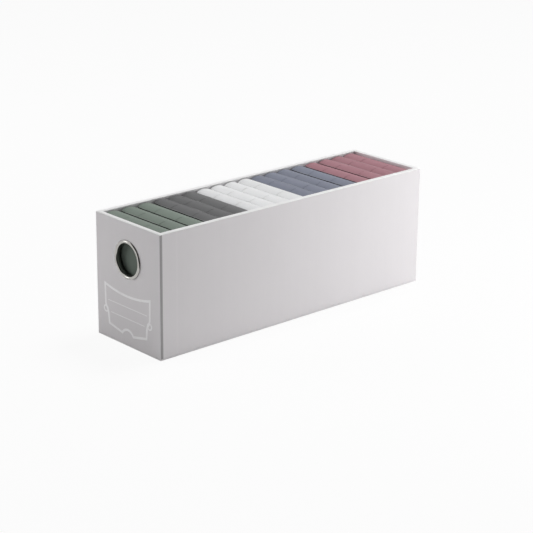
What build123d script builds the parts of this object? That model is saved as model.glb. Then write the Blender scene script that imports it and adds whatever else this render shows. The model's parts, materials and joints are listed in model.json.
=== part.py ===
from build123d import *
import os
from math import asin, degrees

# A long, narrow card drawer of double-walled board with a finger ring in its front.
# It holds a row of slim flip-top card cases, each of which lifts out and opens.
# Sizes are in millimetres. +X is to the right of the front, +Y to the back, +Z up.
# The origin is on the resting face, at the middle of the drawer's footprint.

# Card case
case_width = 72.9
case_thickness = 15.15
case_height = 102.6       # from the foot to the top line of the lid
case_wall = 0.9
case_foot = 0.9
case_corner = 1.5         # radius of the upright edges
lid_sheet = 0.9
crown_rise = 1.8          # how far the lid bulges above its front and back edges
lid_seam = 0.1            # between the lid and the case that it shuts on

# Tuck tongue of the lid, with a relief slit at each side
tongue_width = 28.0
tongue_depth = 6.5
tongue_sheet = 0.8
tongue_play = 0.3         # between the tongue and the front wall
tongue_corner = 3.0
tongue_root_angle = 10.0  # arc of the tongue above the hinge's level, trimmed to the crown
tongue_tip_angle = 5.0    # arc of the tongue past its depth, trimmed to its rounded outline
slit_width = 0.4
slit_length = 7.0
slit_eye = 0.35           # radius of the round hole that ends a slit

# The row, from the front: the colour of each group and its number of cases
case_groups = (("green", 3), ("grey", 3), ("white", 4), ("blue", 4), ("red", 4))
snug_gap = 0.35           # between neighbours that lean together, and at the two ends
loose_gap = 1.95          # between neighbours that stand apart
loose_after = (1, 2, 3, 13, 14, 15)
case_side_gap = 1.1       # between a case and the drawer's side
lid_below_rim = 1.1

# Drawer
board = 2.1               # each wall is two boards thick
base_sheet = 1.2
rim_height = 0.8
rim_round = 0.7

# Finger ring, pressed from sheet and clinched over a washer
ring_bore_radius = 13.7
ring_metal = 0.5
ring_lip_radius = 1.5     # radius of the rolled lip's section
ring_height = 75.4        # from the resting face to the ring's centre
ring_flange = 1.5         # how far the clinched end turns out
ring_bend = 0.4           # inside radius where the clinched end turns
ring_play = 0.1
washer_sheet = 0.6
washer_width = 2.7

# Worked out from the sizes above
case_count = sum(count for colour, count in case_groups)
loose_count = sum(1 for place in loose_after if place < case_count)
snug_count = case_count + 1 - loose_count
inner_width = case_width + 2 * case_side_gap
inner_length = case_count * case_thickness + snug_count * snug_gap + loose_count * loose_gap
wall = 2 * board
drawer_width = inner_width + 2 * wall
drawer_length = inner_length + 2 * wall
floor_top = base_sheet + board
drawer_height = floor_top + case_height + lid_below_rim
board_top = drawer_height - rim_height
front_face = -drawer_length / 2

crown_radius = (case_thickness ** 2 / 4 + crown_rise ** 2) / (2 * crown_rise)
crown_centre = case_height - crown_radius
crown_half_angle = degrees(asin(case_thickness / 2 / crown_radius))
hinge_back = case_thickness / 2
hinge_height = case_height - crown_rise
tongue_reach = case_thickness - case_wall - tongue_play

ring_barrel_radius = ring_bore_radius + ring_metal
ring_hole_radius = ring_barrel_radius + ring_play
washer_radius = ring_hole_radius + washer_width
washer_recess = ring_metal + washer_sheet


def box_between(x0, x1, y0, y1, z0, z1):
    """An upright box between two X, two Y and two Z planes."""
    middle = ((x0 + x1) / 2, (y0 + y1) / 2, (z0 + z1) / 2)
    return Pos(*middle) * Box(x1 - x0, y1 - y0, z1 - z0)


def ring_sector(centre, inner_radius, outer_radius, start, end):
    """The part of a flat ring that lies between two angles in degrees."""
    outer = CenterArc(centre, outer_radius, start, end - start)
    inner = CenterArc(centre, inner_radius, start, end - start)
    sides = [Line(outer @ 1, inner @ 1), Line(inner @ 0, outer @ 0)]
    return make_face([outer, sides[0], inner, sides[1]])


def across(profile, width):
    """Extrude a profile drawn in (Y, Z) by half the width to each side of X = 0."""
    return extrude(Plane.YZ * profile, width / 2, both=True)


def long_cylinder(radius, y, z):
    """A cylinder along X, longer than a case is wide."""
    return Pos(0, y, z) * Rot(0, 90, 0) * Cylinder(radius, 2 * case_width)


def case_envelope():
    """The block with rounded upright edges that a shut case fills."""
    return extrude(RectangleRounded(case_width, case_thickness, case_corner), case_height)


def case_body():
    """An open pocket whose walls end where the crowned lid begins."""
    seam_angle = degrees(lid_seam / crown_radius)
    half_angle = crown_half_angle + seam_angle
    seat = ring_sector(
        (0, crown_centre),
        crown_radius - lid_sheet - lid_seam,
        crown_radius + 2 * crown_rise,
        90 - half_angle,
        90 + half_angle,
    )
    pocket_x = case_width / 2 - case_wall
    pocket_y = case_thickness / 2 - case_wall
    pocket = box_between(-pocket_x, pocket_x, -pocket_y, pocket_y, case_foot, 2 * case_height)
    return case_envelope() - across(seat, 2 * case_width) - pocket


def lid_tongue():
    """The tuck tongue, curved about the hinge so that it swings out past the front wall."""
    hinge = (hinge_back, hinge_height)
    dip = degrees(asin(min(1, tongue_depth / tongue_reach)))
    start, end = 180 - tongue_root_angle, 180 + dip + tongue_tip_angle
    sector = ring_sector(hinge, tongue_reach - tongue_sheet, tongue_reach, start, end)
    blade = across(sector, tongue_width - slit_width)
    under_crown = long_cylinder(crown_radius, 0, crown_centre)
    outline = RectangleRounded(tongue_width - slit_width, 2 * tongue_depth, tongue_corner)
    outline = extrude(Plane.XZ * Pos(0, hinge_height) * outline, case_thickness, both=True)
    return blade & under_crown & outline


def case_lid():
    """The crowned lid, hinged at its back edge, slit at both sides of its tuck tongue."""
    sheet = ring_sector(
        (0, crown_centre),
        crown_radius - lid_sheet,
        crown_radius,
        90 - crown_half_angle,
        90 + crown_half_angle,
    )
    crown = across(sheet, 2 * case_width) & case_envelope()
    front = -case_thickness / 2
    low = hinge_height - tongue_depth
    lid = crown + lid_tongue()
    for side in (-1, 1):
        x = side * tongue_width / 2
        end = front + slit_length
        lid -= box_between(x - slit_width / 2, x + slit_width / 2, 2 * front, end, low, 2 * case_height)
        lid -= Pos(x, end, case_height) * Cylinder(slit_eye, 4 * (crown_rise + lid_sheet))
    return lid


def case_places():
    """The middle of each case along Y, with its name, from the front of the row."""
    names = [f"case_{colour}_{i + 1}" for colour, count in case_groups for i in range(count)]
    y = front_face + wall + snug_gap
    for place, name in enumerate(names, start=1):
        yield name, y + case_thickness / 2
        y += case_thickness + (loose_gap if place in loose_after else snug_gap)


def drawer_boards():
    """The base sheet, the floor, and an outer and an inner board for each wall."""
    x = [drawer_width / 2 - step * board for step in range(3)]
    y = [drawer_length / 2 - step * board for step in range(3)]
    outer = (base_sheet, board_top)
    inner = (floor_top, board_top)
    return {
        "base_sheet": box_between(-x[0], x[0], -y[0], y[0], 0, base_sheet),
        "floor_board": box_between(-x[1], x[1], -y[1], y[1], base_sheet, floor_top),
        "front_board_outer": box_between(-x[0], x[0], -y[0], -y[1], *outer),
        "front_board_inner": box_between(-x[2], x[2], -y[1], -y[2], *inner),
        "side_board_left_outer": box_between(-x[0], -x[1], -y[1], y[0], *outer),
        "side_board_left_inner": box_between(-x[1], -x[2], -y[1], y[1], *inner),
        "side_board_right_outer": box_between(x[1], x[0], -y[1], y[0], *outer),
        "side_board_right_inner": box_between(x[2], x[1], -y[1], y[1], *inner),
        "back_board_outer": box_between(-x[1], x[1], y[1], y[0], *outer),
        "back_board_inner": box_between(-x[2], x[2], y[2], y[1], *inner),
    }


def rim_strip(length):
    """One strip of rounded edging with mitred ends; its outer face is at Y = 0."""
    section = Pos(wall / 2, rim_height / 2) * Rectangle(wall, rim_height)
    section = fillet(section.vertices().group_by(Axis.Y)[-1], rim_round)
    bar = extrude(Plane.YZ * section, length / 2, both=True)
    outer, inner = length / 2, length / 2 - wall
    mitre = make_face(Polyline((-outer, 0), (outer, 0), (inner, wall), (-inner, wall), close=True))
    return bar & extrude(mitre, rim_height)


def drawer_rims():
    """Four mitred strips that close the top of the double walls."""
    half_width, half_length = drawer_width / 2, drawer_length / 2
    across_end = rim_strip(drawer_width)
    along_side = rim_strip(drawer_length)
    return {
        "rim_front": Pos(0, -half_length, board_top) * across_end,
        "rim_back": Pos(0, half_length, board_top) * Rot(0, 0, 180) * across_end,
        "rim_left": Pos(-half_width, 0, board_top) * Rot(0, 0, -90) * along_side,
        "rim_right": Pos(half_width, 0, board_top) * Rot(0, 0, 90) * along_side,
    }


def cut_ring_hole(boards):
    """Pierce both front boards for the ring, and seat its washer in the inner one."""
    hole = Cylinder(ring_hole_radius, 4 * wall)
    recess = Cylinder(washer_radius + ring_play, 2 * washer_recess)
    for name in ("front_board_outer", "front_board_inner"):
        boards[name] -= Pos(0, front_face, ring_height) * Rot(90, 0, 0) * hole
    boards["front_board_inner"] -= Pos(0, front_face + wall, ring_height) * Rot(90, 0, 0) * recess


def finger_ring():
    """A sheet ring with a rolled lip in front and its back end clinched outwards."""
    bore, barrel = ring_bore_radius, ring_barrel_radius
    lip_middle = bore + ring_lip_radius
    lip_edge = lip_middle + ring_lip_radius
    flange_edge = barrel + ring_flange
    hollow = ring_lip_radius - ring_metal
    lip = ThreePointArc((bore, 0), (lip_middle, -ring_lip_radius), (lip_edge, 0))
    under_lip = ThreePointArc((lip_edge - ring_metal, 0), (lip_middle, -hollow), (barrel, 0))
    seat = Line(lip @ 1, under_lip @ 0)
    clinch = Polyline(
        under_lip @ 1,
        (barrel, wall - ring_metal),
        (flange_edge, wall - ring_metal),
        (flange_edge, wall),
        (bore, wall),
        lip @ 0,
    )
    profile = make_face([lip, seat, under_lip] + list(clinch.edges()))
    turn = [v for v in profile.vertices() if v.X < bore + 0.1 * ring_metal and v.Y > wall / 2]
    profile = fillet(turn, ring_bend)
    return Pos(0, front_face, ring_height) * revolve(profile, Axis.Y)


def ring_washer():
    """The flat washer that the ring's clinched end holds against the inner board."""
    face = Circle(washer_radius) - Circle(ring_hole_radius)
    washer = extrude(face, washer_sheet)
    return Pos(0, front_face + wall - ring_metal, ring_height) * Rot(90, 0, 0) * washer


def drawer():
    boards = drawer_boards()
    cut_ring_hole(boards)
    return {**boards, **drawer_rims(), "finger_ring": finger_ring(), "ring_washer": ring_washer()}


def cases():
    body, lid = case_body(), case_lid()
    row = {}
    for name, y in case_places():
        place = Pos(0, y, floor_top)
        row[f"{name}_body"] = place * body
        row[f"{name}_lid"] = place * lid
    return row


def main():
    os.makedirs("parts", exist_ok=True)
    for name, solid in {**drawer(), **cases()}.items():
        export_step(solid, f"parts/{name}.step")


main()
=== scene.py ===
import json
from math import asin, pi, radians, sin

import bmesh
import bpy
from mathutils import Euler, Matrix, Vector


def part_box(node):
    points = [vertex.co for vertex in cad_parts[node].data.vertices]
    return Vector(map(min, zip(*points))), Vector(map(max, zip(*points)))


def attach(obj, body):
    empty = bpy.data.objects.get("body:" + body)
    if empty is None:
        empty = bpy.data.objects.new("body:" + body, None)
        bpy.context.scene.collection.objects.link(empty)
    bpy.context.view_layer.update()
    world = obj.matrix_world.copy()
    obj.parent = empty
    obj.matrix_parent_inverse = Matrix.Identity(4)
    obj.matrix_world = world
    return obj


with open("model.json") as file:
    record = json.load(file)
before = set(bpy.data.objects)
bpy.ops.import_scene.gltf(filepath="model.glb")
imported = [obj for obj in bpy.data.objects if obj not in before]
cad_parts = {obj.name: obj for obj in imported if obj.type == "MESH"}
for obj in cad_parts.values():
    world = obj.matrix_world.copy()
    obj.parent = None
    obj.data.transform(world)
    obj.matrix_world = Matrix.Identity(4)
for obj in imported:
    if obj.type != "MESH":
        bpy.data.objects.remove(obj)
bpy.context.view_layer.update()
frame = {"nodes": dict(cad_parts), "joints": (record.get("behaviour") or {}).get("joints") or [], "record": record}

bl_info = {
    "name": "Card drawer finishes",
    "version": (1, 0, 0),
    "blender": (4, 5, 0),
    "location": "3D View > Sidebar > Card drawer",
    "description": "Paper, edging, metal and case finishes, the printed label frame and the studio"
                   " for a card storage drawer",
    "category": "Object",
}

MM = 0.001
CASE_COLOURS = ("green", "grey", "white", "blue", "red")

# Where the finishes change
MASK_SLACK = 0.02 * MM            # how near to a face of the frame a mask's edge lies
BARE_LAP = 0.45 * MM              # how far the bare board shows behind the front board
FOOT_BAND = (1.2 * MM, 2.6 * MM)  # heights between which the darker foot fades out
EDGE_WEAR = 0.9 * MM              # width of the wear at the front corners and at a case's ends
CREASE = (16.4 * MM, 18.2 * MM)   # the side's faint upright crease, behind the front face
CREASE_SOFT = 0.5 * MM
RIM_SEAM = 0.22 * MM              # how high the shade of the rim's seam reaches
RIM_CREST = 0.25 * MM             # how deep the rubbed crest reaches
MITRE_LINE = (0.04 * MM, 0.16 * MM)
# heights of the base sheet's top edge that are darkened, as painted shade where it meets the walls
BASE_SEAM = (1.02 * MM, 1.2 * MM)
THROAT = (0.4 * MM, 2.6 * MM)     # depths behind the front face where painted shade darkens the ring's inside
LID_LINE = (0.3 * MM, 0.1 * MM)   # below the hinge, where a case's lid begins
LID_SHADE = (4.2 * MM, 2.2 * MM)  # below the hinge, where the painted shade on the walls deepens towards the lid
WALL_SKIN = (0.93, 0.95)          # shares of a case's half thickness, where its walls' faces lie
FRONT_RUB_AND_HIGHLIGHT = (0.93, 0.99)          # the same, where the lid's front edge is paler, as rubbing wear and a painted highlight
BACK_RUB = (0.96, 1.0)            # the same at its back edge

# The label frame, as it was drawn: the right side's corners, as shares of half the width and
# heights in millimetres, and the heights that its foot and its full depth have in the drawing
LABEL_SIDE = ((0.985, 30.5), (0.955, 27.6), (0.885, 24.6), (0.86, 21.5), (0.835, 13.4),
              (0.225, 9.7))
LABEL_FOOT = 9.7
LABEL_DEPTH = 38.9
ARCH_CLIMB = 4.1                  # in the drawing's millimetres
CURL_REACH = 0.94                 # share of half the width
CURL_CLIMB = 16.0                 # in the drawing's millimetres
WRITING_LINES = ((15.1 * MM, 0.835), (25.0 * MM, 0.725))  # depth below the top, and reach
INK_PROUD = 0.9                   # share of the ink's film that stands out of the front
CURL_PROUD = 0.3                  # the same for how far the curls lie over the line

# The studio, in metres and degrees
AIM = Vector((0, 0.03, 0.05))
FILL_SPOT = Vector((-1.10, -0.95, 0.40))
LAMPS = (                         # name, size, spot and what it shines at
    ("key", (0.8, 0.8), Vector((0, 0.9, 2.05)), AIM),
    ("side", (0.6, 0.2), Vector((0.36, 0.33, 0.105)), Vector((0, 0.1, 0.05))),
    ("fill", (0.7, 0.7), FILL_SPOT, AIM),
)
SOFTBOX_SIZE = 0.36
FLAG_TURN = 12                    # from the drawer's length towards its left
FLAGS = (                         # name, width, depth, middle and tilt
    ("upright", 1.6, 4.0, (0.26, 0, 0.7), 90),
    ("low", 1.9, 4.0, (1.04, 0, 0.5 * MM), 0),
    ("high", 1.6, 2.0, (0.4, -0.4, 1.0), 0),
)
FLOOR_SIZE = 9.0
CAMERA_SPOT = (1.0590678, -0.9527448, 0.5317981)
CAMERA_TURN = (70.819032, -0.524864, 48.129646)
CAMERA_NEAR = 0.05
FILM_WIDTH = 36                   # in millimetres


def measured():
    """The drawer's own sizes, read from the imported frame, in metres."""
    low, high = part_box("front_board_outer")
    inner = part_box("side_board_right_inner")
    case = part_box("case_green_1_body")
    bore = next(m for m in frame["record"]["mounts"] if m["name"] == "finger_ring")
    hinge = next(j for j in frame["joints"] if j["name"] == "open_green_1")
    return {
        "half_width": high.x,
        "front": low.y,
        "back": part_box("back_board_outer")[1].y,
        "board": high.y - low.y,
        "board_top": high.z,
        "inner_half_width": inner[0].x,
        "inner_half_length": -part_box("front_board_inner")[1].y,
        "rim_top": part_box("rim_front")[1].z,
        "ring_height": bore["pos_m"][2],
        "case_half_width": case[1].x,
        "case_half_thickness": (case[1].y - case[0].y) / 2,
        "hinge": hinge["pos_m"][2],
    }


SIZE = measured()


# Nodes

class Wire:
    """A value that a node puts out. Arithmetic on it adds Math nodes to its finish."""

    def __init__(self, finish, socket):
        self.finish, self.socket = finish, socket

    def math(self, operation, *values):
        return self.finish.add("ShaderNodeMath", {"operation": operation}, dict(enumerate(values)))

    def __add__(self, other):
        return self.math("ADD", self, other)

    def __sub__(self, other):
        return self.math("SUBTRACT", self, other)

    def __rsub__(self, other):
        return self.math("SUBTRACT", other, self)

    def __mul__(self, other):
        return self.math("MULTIPLY", self, other)

    def __truediv__(self, other):
        return self.math("DIVIDE", self, other)

    def __neg__(self):
        return self.math("MULTIPLY", self, -1.0)

    def __abs__(self):
        return self.math("ABSOLUTE", self)

    __radd__ = __add__
    __rmul__ = __mul__


class Nodes:
    """The nodes of a material or of the sky."""

    def __init__(self, owner):
        owner.use_nodes = True
        self.tree = owner.node_tree

    def first(self, kind):
        return next(n for n in self.tree.nodes if n.type == kind)

    def add(self, kind, settings=None, values=None, output=0):
        """Add any node: its settings first, then its sockets' values or links."""
        node = self.tree.nodes.new(kind)
        for name, setting in (settings or {}).items():
            setattr(node, name, setting)
        for key, value in (values or {}).items():
            socket = self.socket_of(node.inputs, key)
            if isinstance(value, Wire):
                self.tree.links.new(value.socket, socket)
            else:
                socket.default_value = value
        return Wire(self, self.socket_of(node.outputs, output))

    @staticmethod
    def socket_of(sockets, key):
        """The socket at a number, or the enabled one with a name."""
        if isinstance(key, int):
            return sockets[key]
        return next(s for s in sockets if s.enabled and key in (s.identifier, s.name))

    def seen(self):
        """1 for what the camera, gloss and glass see, 0 for the light that falls on the drawer."""
        rays = [self.add("ShaderNodeLightPath", output=f"Is {kind} Ray")
                for kind in ("Camera", "Glossy", "Transmission")]
        return rays[0].math("MAXIMUM", rays[0].math("MAXIMUM", rays[0], rays[1]), rays[2])

    def show(self, shader, output):
        """Link a shader to the output node."""
        self.tree.links.new(shader.socket, self.first(output).inputs["Surface"])


class Finish(Nodes):
    """A material, with the nodes that vary it over the surface it covers."""

    def __init__(self, name, **plain):
        self.material = bpy.data.materials.new(name)
        super().__init__(self.material)
        self.shader = self.first("BSDF_PRINCIPLED")
        for socket, value in plain.items():
            self.shader.inputs[socket.replace("_", " ")].default_value = value
        self.place = self.add("ShaderNodeTexCoord", output="Object")
        parts = self.add("ShaderNodeSeparateXYZ", values={"Vector": self.place}).socket.node
        self.x, self.y, self.z = (Wire(self, socket) for socket in parts.outputs)

    def grain(self, per_metre, stretch=(1, 1, 1), detail=2.0, place=None):
        """Noise from 0 to 1 about 0.5, with so many grains to the metre along each axis."""
        spread = self.add("ShaderNodeMapping", values={
            "Vector": place or self.place, "Scale": [per_metre * s for s in stretch]})
        return self.add("ShaderNodeTexNoise", values={
            "Vector": spread, "Scale": 1.0, "Detail": detail, "Roughness": 0.55}, output="Fac")

    def rise(self, value, low, high):
        """0 below low, 1 above high and smooth between them."""
        return self.add("ShaderNodeMapRange", {"interpolation_type": "SMOOTHSTEP"}, {
            "Value": value, "From Min": low, "From Max": high}, output="Result")

    def band(self, value, low, high, soft):
        """1 between low and high, and 0 outside."""
        ended = self.rise(value, high - soft, high + soft)
        return self.rise(value, low - soft, low + soft) * (1 - ended)

    def tint(self, share, under, over):
        """The colour under, turning to the colour over as share goes from 0 to 1."""
        return self.add("ShaderNodeMix", {"data_type": "RGBA"}, {
            "Factor_Float": share, "A_Color": under, "B_Color": over}, output="Result_Color")

    def shade(self, colour, strength):
        """The colour, lighter or darker by a number."""
        under = colour if isinstance(colour, Wire) else colour[:3]
        return self.add("ShaderNodeVectorMath", {"operation": "SCALE"}, {
            "Vector": under, "Scale": strength}, output="Vector")

    def bump(self, height, depth):
        """A surface that stands up to depth higher where height is 1 than where it is 0."""
        return self.add("ShaderNodeBump", values={"Height": height, "Distance": depth},
                        output="Normal")

    def set(self, **wires):
        """Link values to the shader's sockets, and give back the material."""
        for socket, wire in wires.items():
            self.tree.links.new(wire.socket, self.shader.inputs[socket.replace("_", " ")])
        return self.material


def rgba(colour):
    return (*colour[:3], 1.0)


def dressed(node, material):
    """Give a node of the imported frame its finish."""
    thing = frame["nodes"].get(node)
    if thing is None:
        raise RuntimeError(f"the frame has no node named {node}")
    for place in thing.material_slots:
        place.material = material


# Meshes

def new_piece(name, mesh_builder, material, body="drawer"):
    """A piece whose place is in its mesh, riding on a body of the drawer."""
    shape = bmesh.new()
    mesh_builder(shape)
    bmesh.ops.recalc_face_normals(shape, faces=shape.faces)
    mesh = bpy.data.meshes.new(name)
    shape.to_mesh(mesh)
    shape.free()
    mesh.materials.append(material)
    piece = bpy.data.objects.new(name, mesh)
    bpy.context.scene.collection.objects.link(piece)
    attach(piece, body)
    return piece


def arc(shape, start, centre, angle, steps):
    """Vertices along an arc in the (X, Z) plane, from start, about centre."""
    first = shape.verts.new((start[0], 0, start[1]))
    bmesh.ops.spin(shape, geom=[first], cent=(centre[0], 0, centre[1]), axis=(0, 1, 0),
                   angle=angle, steps=steps, use_duplicate=False)


# Finishes

def fibres(finish, amount):
    """Tone of pressed paper: short upright fibres, clouding and faint upright ribs."""
    fibre = finish.grain(800, (1, 1, 0.22), 4.0)
    fleck = finish.grain(2600, detail=1.0)
    cloud = finish.grain(24)
    streak = finish.grain(160, (1, 1, 0.015), 1.0)
    tone = 1 + (fibre - 0.5) * (0.5 * amount) + (fleck - 0.5) * (0.4 * amount)
    tone = tone + (cloud - 0.5) * (0.4 * amount) + (streak - 0.5) * (0.4 * amount)
    return fibre, fleck, streak, tone


def board_paper(paper):
    """White paper over board, bare grey at the cut ends, darker towards its foot, more so in random scuffs there,
    and scuffed at its front corners.
    """
    finish = Finish("drawer board paper", Specular_IOR_Level=paper.sheen)
    x, y, z = abs(finish.x), finish.y, finish.z
    fibre, fleck, streak, tone = fibres(finish, paper.grain)
    half, front, back, board = SIZE["half_width"], SIZE["front"], SIZE["back"], SIZE["board"]
    thin = MASK_SLACK
    trim = front + board + BARE_LAP
    front_end = finish.rise(x, half - 2 * thin, half - thin)
    front_end = front_end * (1 - finish.rise(y, trim - thin, trim))
    back_end = finish.rise(y, back - 2 * thin, back - thin)
    back_end = back_end * finish.rise(x, half - board, half - board + thin)
    bare = front_end + back_end
    layers = finish.grain(1, (3200, 3200, 90), 3.0)
    wide, long = SIZE["inner_half_width"], SIZE["inner_half_length"]
    inside = 1 - finish.rise(x, wide + thin, wide + 2 * thin)
    inside = inside * (1 - finish.rise(abs(y), long + thin, long + 2 * thin))
    foot = 1 - finish.rise(z, *FOOT_BAND)
    scuff = finish.rise(finish.grain(240, detail=3.0), 0.52, 0.7)
    corner = 1 - finish.rise(abs(y + front), 0, EDGE_WEAR)
    corner = corner * finish.rise(x, half - EDGE_WEAR, half)
    crease = finish.band(y, front + CREASE[0], front + CREASE[1], CREASE_SOFT)
    crease = crease * finish.rise(x, half - thin, half)
    # Painted light: the inside is paler than the outer paper, which lifts its shade
    colour = finish.tint(inside, rgba(paper.colour), rgba(paper.lining_painted_light))
    # Darker towards the foot: a little all along it, more in the random scuffs
    colour = finish.tint(foot * (0.08 + 0.3 * scuff), colour, rgba(paper.bare))
    colour = finish.tint(corner * scuff * 0.3, colour, rgba(paper.bare))
    colour = finish.shade(colour, tone + 0.02 * crease)
    raw = finish.shade(rgba(paper.bare), 0.86 + 0.28 * layers)
    colour = finish.tint(bare, colour, raw)
    height = fibre * 0.7 + fleck * 0.3 + streak * 0.5 + bare * layers * 2.0
    rough = 0.66 + 0.16 * (fleck - 0.5) + 0.2 * bare
    return finish.set(Base_Color=colour, Roughness=rough, Normal=finish.bump(height, paper.relief))


def rim_paper(paper):
    """Edging paper, paler than the walls' paper by painted light on the top, rubbed smoother on its crest and
    shaded where it meets the wall.
    """
    finish = Finish("drawer rim paper", Specular_IOR_Level=paper.sheen)
    fibre, fleck, _, tone = fibres(finish, paper.grain * 0.7)
    foot = SIZE["board_top"]
    seam = 1 - finish.rise(finish.z, foot + MASK_SLACK, foot + RIM_SEAM)
    crest = finish.rise(finish.z, SIZE["rim_top"] - RIM_CREST, SIZE["rim_top"])
    rub = finish.rise(finish.grain(120, detail=3.0), 0.5, 0.72)
    mitre = abs(abs(finish.x) - SIZE["half_width"] - abs(finish.y) - SIZE["front"])
    joint = 1 - finish.rise(mitre, *MITRE_LINE)
    # The rim's colour holds painted light: it is paler than the walls' paper
    colour = finish.tint(0.55 * seam, rgba(paper.rim), rgba(paper.bare))
    colour = finish.tint(0.12 * rub * crest + 0.25 * joint, colour, rgba(paper.colour))
    rough = 0.6 - 0.14 * crest * rub + 0.1 * (fleck - 0.5)
    height = fibre * 0.6 + fleck * 0.4 - 0.6 * joint
    return finish.set(Base_Color=finish.shade(colour, tone), Roughness=rough,
                      Normal=finish.bump(height, paper.relief))


def base_board(paper):
    """The base sheet: pale pulp board with fine layers showing along its cut edges."""
    finish = Finish("drawer base board", Specular_IOR_Level=paper.sheen)
    layers = finish.grain(1, (60, 60, 5200), 3.0)
    fleck = finish.grain(1500, detail=3.0)
    cloud = finish.grain(40)
    # Painted shade: the top of the base sheet's edge is darker where it meets the walls
    seam = finish.rise(finish.z, *BASE_SEAM)
    tone = 1 + 0.2 * (layers - 0.5) + 0.12 * (fleck - 0.5) + 0.08 * (cloud - 0.5) - 0.12 * seam
    rough = 0.78 + 0.2 * (fleck - 0.5)
    return finish.set(Base_Color=finish.shade(rgba(paper.base), tone), Roughness=rough,
                      Normal=finish.bump(layers * 0.7 + fleck * 0.3, depth=0.05 * MM))


def print_ink(paper):
    """Pale ink of the printed label frame, uneven where the paper's grain shows through."""
    finish = Finish("label frame ink", Specular_IOR_Level=0.4)
    fibre = finish.grain(900, (1, 1, 0.3), 3.0)
    patch = finish.grain(190, detail=3.0)
    worn = finish.rise(patch, 0.56, 0.8)
    colour = finish.tint(0.35 * worn, rgba(paper.ink), rgba(paper.colour))
    colour = finish.shade(colour, 1 + 0.05 * (fibre - 0.5))
    return finish.set(Base_Color=colour, Roughness=0.5 + 0.15 * (patch - 0.5),
                      Normal=finish.bump(fibre, depth=0.01 * MM))


def nickel(ring):
    """Bright nickel plate with hairlines round the ring, its colour darker than nickel's as a painted reflection
    of duller surroundings, and duller inside, where painted shade darkens it.
    """
    finish = Finish("finger ring nickel", Metallic=1.0)
    up = finish.z - SIZE["ring_height"]
    turn = up.math("ARCTAN2", up, finish.x)
    out = up.math("SQRT", up * up + finish.x * finish.x)
    around = finish.add("ShaderNodeCombineXYZ", values={"X": turn * 0.02, "Y": out, "Z": finish.y})
    hairline = finish.grain(1, (60, 9000, 9000), 2.0, around)
    smear = finish.grain(180, detail=3.0)
    deep = finish.rise(finish.y, *(SIZE["front"] + depth for depth in THROAT))
    # The plate's colour holds a painted reflection: darker than nickel, for the duller surroundings it mirrors
    colour = finish.shade(rgba(ring.colour), 1 + 0.1 * (smear - 0.5) + 0.08 * (hairline - 0.5))
    # Painted shade: the ring's inside is tinted nearly black
    colour = finish.tint(deep * ring.throat_shade, colour, (0.05, 0.05, 0.045, 1))
    rough = ring.roughness + 0.16 * (smear - 0.5) + 0.08 * (hairline - 0.5) + 0.2 * deep
    return finish.set(Base_Color=colour, Roughness=rough,
                      Normal=finish.bump(hairline, depth=0.004 * MM))


def case_sheet(name, colour, middle, cases):
    """Fine-grained matt sheet of one card case: rubbed pale along its lid's edges, with a painted highlight along
    the lid's front edge, and painted shade that darkens the front and back walls, and more under the lid's edge."""
    finish = Finish(name, Specular_IOR_Level=cases.sheen)
    across = (finish.y - middle) / SIZE["case_half_thickness"]
    pebble = finish.grain(2100, detail=2.0)
    fine = finish.grain(5200, detail=1.0)
    cloud = finish.grain(52, detail=3.0)
    stroke = finish.grain(1, (38, 900, 900), 2.0)
    hinge, half_width = SIZE["hinge"], SIZE["case_half_width"]
    lid = finish.rise(finish.z, *(hinge - drop for drop in LID_LINE))
    wall = finish.rise(abs(across), *WALL_SKIN) * (1 - lid)
    # Painted shade under the lid's edge, where a case's walls face the gap to the next case
    seam = wall * finish.rise(finish.z, *(hinge - drop for drop in LID_SHADE))
    # Paler edges: the lid's front edge as rubbing wear and a painted highlight, its back edge and the case's ends
    # as rubbing wear
    edge = (finish.rise(-across, *FRONT_RUB_AND_HIGHLIGHT) + 0.4 * finish.rise(across, *BACK_RUB)) * lid
    end = finish.rise(abs(finish.x), half_width - EDGE_WEAR, half_width)
    worn = (edge + 0.5 * end) * (0.45 + 0.9 * finish.rise(cloud, 0.4, 0.65))
    darkness = 1 - sum(colour) / len(colour)
    tone = 1 + 0.07 * (pebble - 0.5) + 0.1 * (cloud - 0.5) + 0.08 * (stroke - 0.5)
    # Painted shade: the walls are darkened in step with the case's own darkness, and more towards the lid's edge
    tone = tone - (cases.walls * darkness) * wall - cases.seam * seam
    pale = [c + cases.wear_and_highlight * (1 - c) for c in colour]
    body = finish.tint(worn * 0.8, rgba(colour), rgba(pale))
    rough = cases.roughness + 0.14 * (pebble - 0.5) + 0.12 * (stroke - 0.5) - 0.08 * worn
    return finish.set(Base_Color=finish.shade(body, tone), Roughness=rough,
                      Normal=finish.bump(pebble * 0.7 + fine * 0.3, cases.relief))


# Settings

def colour_setting(name, description, default):
    return bpy.props.FloatVectorProperty(name=name, description=description, default=default,
                                         subtype="COLOR", size=3, min=0, max=1)


def share_setting(name, description, default, high=1.0):
    return bpy.props.FloatProperty(name=name, description=description, default=default,
                                   min=0, max=high)


def length_setting(name, description, default, low=0.0):
    return bpy.props.FloatProperty(name=name, description=description, default=default,
                                   min=low, precision=5, subtype="DISTANCE", unit="LENGTH")


def lamp_setting(name, description, default):
    return bpy.props.FloatProperty(name=name, description=description, default=default,
                                   min=0, unit="POWER")


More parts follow.
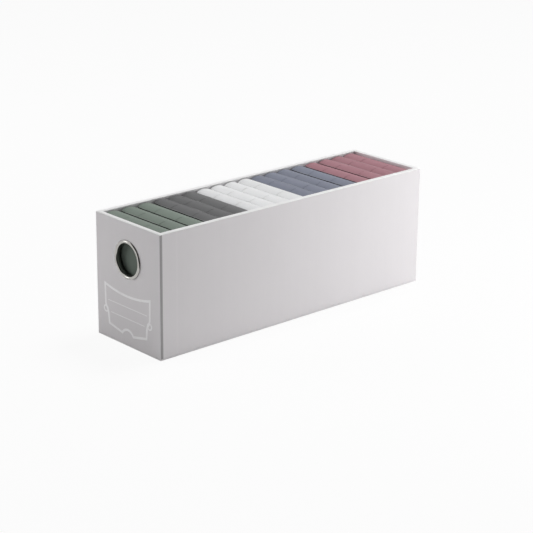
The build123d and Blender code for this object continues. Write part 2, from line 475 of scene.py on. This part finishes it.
class DrawerPaper(bpy.types.PropertyGroup):
    colour: colour_setting("Wall paper", "Paper on the outside of the walls", (0.770, 0.746, 0.760))
    # Painted light: the lining is paler than the outer paper, to lift the shade inside the drawer
    lining_painted_light: colour_setting("Lining", "Paper on the inside of the walls", (0.90, 0.885, 0.90))
    # Painted light: paler than the walls' paper, for the light that falls on the top
    rim: colour_setting("Rim paper", "Edging paper along the top", (0.90, 0.90, 0.90))
    bare: colour_setting("Bare board", "Grey board where it is cut", (0.38, 0.37, 0.375))
    base: colour_setting("Base board", "Sheet under the drawer", (0.72, 0.70, 0.71))
    ink: colour_setting("Ink", "Pale ink of the label frame", (0.965, 0.955, 0.965))
    grain: share_setting("Grain", "How strongly the paper's fibres and clouding show", 0.05, 0.5)
    sheen: share_setting("Sheen", "How much the paper shines", 0.25)
    relief: length_setting("Relief", "Depth of the paper's surface texture", 0.02 * MM)


class FingerRing(bpy.types.PropertyGroup):
    # Painted reflection: the plating is darker than nickel, standing in for the duller surroundings it mirrors
    colour: colour_setting("Plating", "Colour of the nickel plate", (0.43, 0.42, 0.40))
    roughness: share_setting("Roughness", "From mirror bright to satin", 0.10)
    # Painted shade: how dark the inside of the ring is painted
    throat_shade: share_setting("Throat", "How dark the inside of the ring has gone", 0.8)


class CardCases(bpy.types.PropertyGroup):
    green: colour_setting("Green", "Cases of the first group", (0.215, 0.256, 0.222))
    grey: colour_setting("Grey", "Cases of the second group", (0.151, 0.152, 0.154))
    white: colour_setting("White", "Cases of the third group", (0.875, 0.88, 0.885))
    blue: colour_setting("Blue", "Cases of the fourth group", (0.233, 0.249, 0.309))
    red: colour_setting("Red", "Cases of the fifth group", (0.398, 0.202, 0.233))
    roughness: share_setting("Roughness", "From satin to dead matt", 0.66)
    sheen: share_setting("Sheen", "How much the sheet shines", 0.2)
    # Paler edges: rubbing wear, and a painted highlight too along the lid's front edge
    wear_and_highlight: share_setting("Wear", "How much paler the rubbed edges are", 0.22)
    # Painted shade: a dark case's front and back walls are painted darker than its lid
    walls: share_setting("Walls", "How much darker than its lid a dark case's walls are", 0.5)
    # Painted shade: how much darker the walls are painted under the lid's edge
    seam: share_setting("Seam", "How much darker the walls go under the lid's edge", 0.3)
    relief: length_setting("Relief", "Depth of the sheet's fine grain", 0.03 * MM)


class LabelFrame(bpy.types.PropertyGroup):
    width: length_setting("Width", "Width of the printed frame at its top corners", 61.6 * MM)
    offset: length_setting("Offset", "How far right of the middle the frame sits", -1.5 * MM, -1.0)
    top: length_setting("Top", "Height of the frame's top corners", 48.9 * MM)
    bottom: length_setting("Bottom", "Height of the frame's lowest points", 8.8 * MM)
    sag: length_setting("Sag", "How far the top line hangs in the middle", 4.4 * MM)
    line: length_setting("Line", "Width of the frame's line", 2.1 * MM)
    curl: length_setting("Curl", "Width of the curl at each side", 6.6 * MM)
    rule: length_setting("Writing line", "Width of a writing line", 0.62 * MM)
    film: length_setting("Film", "Thickness of the ink", 0.03 * MM)


class Studio(bpy.types.PropertyGroup):
    floor: colour_setting("Floor", "Pale floor", (0.77, 0.77, 0.77))
    lift: share_setting("Floor lift", "How far the floor is lifted to white for the camera", 0.93)
    sky: share_setting("Sky", "Light from all round", 0.105, 2.0)
    key: lamp_setting("Key", "Lamp above and behind", 34)
    side: lamp_setting("Side", "Lamp beside the far end", 1.4)
    fill: lamp_setting("Fill", "Lamp to the front left", 9.6)
    softbox: share_setting("Softbox", "How bright the fill lamp looks in the metal", 4.5, 10.0)
    lens: bpy.props.FloatProperty(name="Lens", description="Focal length in millimetres",
                                  default=117.031, min=1)


# Operators

class Dressing(bpy.types.Operator):
    """Shared by the steps that dress the drawer"""
    bl_options = {"REGISTER", "UNDO"}


class DRAWER_OT_cover_boards(Dressing):
    """Cover the walls, floor and base sheet of the drawer"""
    bl_idname = "drawer.cover_boards"
    bl_label = "Cover the boards"

    def execute(self, context):
        paper = context.scene.drawer_paper
        cover = board_paper(paper)
        boards = [n for n in frame["nodes"] if "_board" in n]
        if not boards:
            raise RuntimeError("the frame has no boards to cover")
        for node in boards:
            dressed(node, cover)
        dressed("base_sheet", base_board(paper))
        return {"FINISHED"}


class DRAWER_OT_edge_rims(Dressing):
    """Cover the edging strips along the top of the walls"""
    bl_idname = "drawer.edge_rims"
    bl_label = "Edge the rims"

    def execute(self, context):
        cover = rim_paper(context.scene.drawer_paper)
        for end in ("front", "back", "left", "right"):
            dressed(f"rim_{end}", cover)
        return {"FINISHED"}


class DRAWER_OT_plate_ring(Dressing):
    """Plate the finger ring and its washer"""
    bl_idname = "drawer.plate_ring"
    bl_label = "Plate the ring"

    def execute(self, context):
        plate = nickel(context.scene.finger_ring)
        for node in ("finger_ring", "ring_washer"):
            dressed(node, plate)
        return {"FINISHED"}


class DRAWER_OT_finish_cases(Dressing):
    """Give each card case and its lid the sheet of its group"""
    bl_idname = "drawer.finish_cases"
    bl_label = "Finish the cases"

    def execute(self, context):
        cases = context.scene.card_cases
        bodies = [n for n in frame["nodes"] if n.startswith("case_") and n.endswith("_body")]
        if not bodies:
            raise RuntimeError("the frame has no card cases")
        for node in bodies:
            name = node[:-len("_body")]
            group, number = name.split("_")[1:]
            low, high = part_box(node)
            batch = 1 + 0.03 * sin(2.4 * int(number) + CASE_COLOURS.index(group))
            colour = [c * batch for c in getattr(cases, group)]
            sheet = case_sheet(f"{group} case sheet {number}", colour, (low.y + high.y) / 2, cases)
            dressed(node, sheet)
            dressed(f"{name}_lid", sheet)
        return {"FINISHED"}


class DRAWER_OT_print_label(Dressing):
    """Print the label frame and its two writing lines on the front"""
    bl_idname = "drawer.print_label"
    bl_label = "Print the label frame"

    def execute(self, context):
        label = context.scene.label_frame
        ink = print_ink(context.scene.drawer_paper)
        half = label.width / 2

        def lay_on_front(shape):
            """Thicken the flat print and put it on the front face."""
            shape.normal_update()
            bmesh.ops.reverse_faces(shape, faces=[f for f in shape.faces if f.normal.y > 0])
            bmesh.ops.solidify(shape, geom=shape.faces[:], thickness=label.film)
            back = SIZE["front"] - label.film * INK_PROUD - min(v.co.y for v in shape.verts)
            bmesh.ops.translate(shape, verts=shape.verts, vec=(label.offset, back, 0))

        def disc(shape, across, height, width, segments):
            """A round face in the plane of the print, given back as the vertices of its edge."""
            place = Matrix.Translation((across, 0, height)) @ Matrix.Rotation(pi / 2, 4, "X")
            return bmesh.ops.create_circle(shape, cap_ends=True, segments=segments,
                                           radius=width / 2, matrix=place)["verts"]

        def hollow(shape, faces, width):
            """Leave only a line of even width inside the outline of each face."""
            shape.normal_update()
            bmesh.ops.inset_individual(shape, faces=faces, thickness=width, use_even_offset=True)
            bmesh.ops.delete(shape, geom=faces, context="FACES")

        def frame_line(shape):
            """The frame's outline with its arch at the foot, and a small curl at each side."""
            top, bottom = label.top, label.bottom
            drawn = (top - bottom) / LABEL_DEPTH
            radius = (half ** 2 + label.sag ** 2) / (2 * label.sag)
            arc(shape, (-half, top), (0, top + radius - label.sag), -2 * asin(half / radius), 24)
            sagging = sorted(shape.verts[:], key=lambda v: v.co.x)
            bmesh.ops.delete(shape, geom=shape.edges[:], context="EDGES_FACES")
            right = [(reach * half, bottom + (height - LABEL_FOOT) * drawn)
                     for reach, height in LABEL_SIDE]
            span, climb = LABEL_SIDE[-1][0] * half, ARCH_CLIMB * drawn
            bend = (span ** 2 + climb ** 2) / (2 * climb)
            reaches = [span * (1 - step / 4) for step in range(1, 8)]
            arch = [(px, bottom + climb - bend + (bend ** 2 - px ** 2) ** 0.5) for px in reaches]
            left = [(-px, pz) for px, pz in reversed(right)]
            below = [shape.verts.new((px, 0, pz)) for px, pz in right + arch + left]
            shape.faces.new(sagging + below)
            hollow(shape, shape.faces[:], label.line)
            for end in (-1, 1):
                line = set(shape.verts)
                curl = disc(shape, end * CURL_REACH * half, bottom + CURL_CLIMB * drawn,
                            label.curl, 28)
                hollow(shape, curl[0].link_faces[:], label.curl / 5)
                bmesh.ops.translate(shape, verts=[v for v in shape.verts if v not in line],
                                    vec=(0, -CURL_PROUD * label.film, 0))
            lay_on_front(shape)

        def writing_lines(shape):
            """Two round dabs of ink, each drawn out to both sides into a line."""
            for drop, reach in WRITING_LINES:
                dab = disc(shape, 0, label.top - drop, label.rule, 16)
                for end in (-1, 1):
                    verts = [v for v in dab if v.co.x * end > 0.01 * label.rule]
                    bmesh.ops.translate(shape, verts=verts, vec=(end * reach * half, 0, 0))
            lay_on_front(shape)

        new_piece("label_frame_print", frame_line, ink)
        new_piece("label_writing_lines", writing_lines, ink)
        return {"FINISHED"}


class DRAWER_OT_set_stage(Dressing):
    """Set the pale floor, the lamps, the cards that the metal mirrors, the sky and the camera"""
    bl_idname = "drawer.set_stage"
    bl_label = "Set the stage"

    def execute(self, context):
        studio = context.scene.studio
        scene = context.scene
        floor = self.card("studio_floor", FLOOR_SIZE, FLOOR_SIZE, Matrix.Identity(4),
                          self.floor_finish(studio))
        cloth = self.flag_finish()
        turned = Matrix.Translation((0, SIZE["front"], 0))
        turned = turned @ Matrix.Rotation(radians(FLAG_TURN), 4, "Z")
        cards = []
        for name, width, depth, middle, tilt in FLAGS:
            place = turned @ Matrix.Translation(middle) @ Matrix.Rotation(radians(tilt), 4, "Y")
            cards.append(self.card(f"studio_flag_{name}", width, depth, place, cloth))
        cards.append(self.card("studio_softbox", SOFTBOX_SIZE, SOFTBOX_SIZE,
                               self.facing(FILL_SPOT, AIM), self.glow(studio)))
        for card in cards:
            card.visible_camera = card.visible_diffuse = False
            card.visible_shadow = card.visible_transmission = False
        self.sky(scene, studio)
        for name, size, spot, target in LAMPS:
            lamp = bpy.data.lights.new(f"{name}_lamp", "AREA")
            lamp.shape, lamp.size, lamp.size_y = "RECTANGLE", *size
            lamp.energy = getattr(studio, name)
            holder = bpy.data.objects.new(f"{name}_lamp", lamp)
            holder.matrix_world = self.facing(spot, target)
            holder.visible_camera = False
            holder.visible_glossy = name != "fill"
            scene.collection.objects.link(holder)
        camera = bpy.data.cameras.new("photo_camera")
        camera.lens, camera.sensor_width, camera.clip_start = studio.lens, FILM_WIDTH, CAMERA_NEAR
        seat = bpy.data.objects.new("photo_camera", camera)
        seat.location = CAMERA_SPOT
        seat.rotation_euler = Euler([radians(angle) for angle in CAMERA_TURN])
        scene.collection.objects.link(seat)
        scene.camera = seat
        scene.view_settings.view_transform = "Standard"
        return {"FINISHED"}

    @staticmethod
    def facing(spot, target):
        """The placement of a lamp or its cloth at spot, turned towards target."""
        turn = (target - spot).to_track_quat("-Z", "Y")
        return Matrix.Translation(spot) @ turn.to_matrix().to_4x4()

    @staticmethod
    def card(name, width, depth, place, material):
        """A flat sheet of the studio, with its place in its mesh."""
        shape = bmesh.new()
        bmesh.ops.create_grid(shape, x_segments=1, y_segments=1, size=0.5,
                              matrix=place @ Matrix.Diagonal((width, depth, 1, 1)))
        mesh = bpy.data.meshes.new(name)
        shape.to_mesh(mesh)
        shape.free()
        mesh.materials.append(material)
        thing = bpy.data.objects.new(name, mesh)
        bpy.context.scene.collection.objects.link(thing)
        return thing

    @staticmethod
    def floor_finish(studio):
        """A pale floor that keeps the drawer's shadow, lifted to white where it is looked at."""
        finish = Finish("pale floor", Roughness=0.9, Specular_IOR_Level=0.0)
        cloud = finish.grain(3.0)
        finish.set(Base_Color=finish.shade(rgba(studio.floor), 1 + 0.02 * (cloud - 0.5)))
        plain = Wire(finish, finish.shader.outputs[0])
        white = finish.add("ShaderNodeEmission")
        lifted = finish.add("ShaderNodeMixShader", values={
            0: finish.seen() * studio.lift, 1: plain, 2: white})
        finish.show(lifted, "OUTPUT_MATERIAL")
        return finish.material

    @staticmethod
    def flag_finish():
        """Black cloth that only the metal sees."""
        finish = Finish("black flag", Specular_IOR_Level=0.0, Roughness=1.0)
        nap = finish.grain(300)
        return finish.set(Base_Color=finish.shade((0.012, 0.012, 0.012), 1 + 0.3 * (nap - 0.5)))

    @staticmethod
    def glow(studio):
        """The fill lamp's cloth, as bright as the metal mirrors it."""
        finish = Finish("softbox cloth")
        strength = studio.softbox * (0.96 + 0.08 * finish.grain(120))
        lit = finish.add("ShaderNodeEmission", values={"Strength": strength})
        finish.show(lit, "OUTPUT_MATERIAL")
        return finish.material

    @staticmethod
    def sky(scene, studio):
        """An even sky that gives soft light and looks white."""
        scene.world = bpy.data.worlds.new("studio sky")
        nodes = Nodes(scene.world)
        soft, white = (nodes.add("ShaderNodeBackground", values={
            "Color": (1, 1, 1, 1), "Strength": strength}) for strength in (studio.sky, 1.0))
        mixed = nodes.add("ShaderNodeMixShader", values={0: nodes.seen(), 1: soft, 2: white})
        nodes.show(mixed, "OUTPUT_WORLD")


class DRAWER_PT_card_drawer(bpy.types.Panel):
    """Lists the drawer's settings and steps"""
    bl_idname = "DRAWER_PT_card_drawer"
    bl_label = "Card drawer"
    bl_space_type = "VIEW_3D"
    bl_region_type = "UI"
    bl_category = "Card drawer"

    def draw(self, context):
        for group, steps in STEPS.items():
            box = self.layout.box()
            settings = getattr(context.scene, group)
            for name in settings.__annotations__:
                box.prop(settings, name)
            for step in steps:
                box.operator(step.bl_idname)


SETTINGS = {"drawer_paper": DrawerPaper, "finger_ring": FingerRing, "card_cases": CardCases,
            "label_frame": LabelFrame, "studio": Studio}
STEPS = {"drawer_paper": (DRAWER_OT_cover_boards, DRAWER_OT_edge_rims),
         "finger_ring": (DRAWER_OT_plate_ring,),
         "card_cases": (DRAWER_OT_finish_cases,),
         "label_frame": (DRAWER_OT_print_label,),
         "studio": (DRAWER_OT_set_stage,)}
ORDERED_STEPS = [step for steps in STEPS.values() for step in steps]
CLASSES = (*SETTINGS.values(), *ORDERED_STEPS, DRAWER_PT_card_drawer)


def register():
    for thing in CLASSES:
        bpy.utils.register_class(thing)
    for name, group in SETTINGS.items():
        setattr(bpy.types.Scene, name, bpy.props.PointerProperty(type=group))


def unregister():
    for name in SETTINGS:
        delattr(bpy.types.Scene, name)
    for thing in reversed(CLASSES):
        bpy.utils.unregister_class(thing)


def main():
    register()
    for step in ORDERED_STEPS:
        family, name = step.bl_idname.split(".")
        getattr(getattr(bpy.ops, family), name)()


if __name__ == "__main__":
    main()
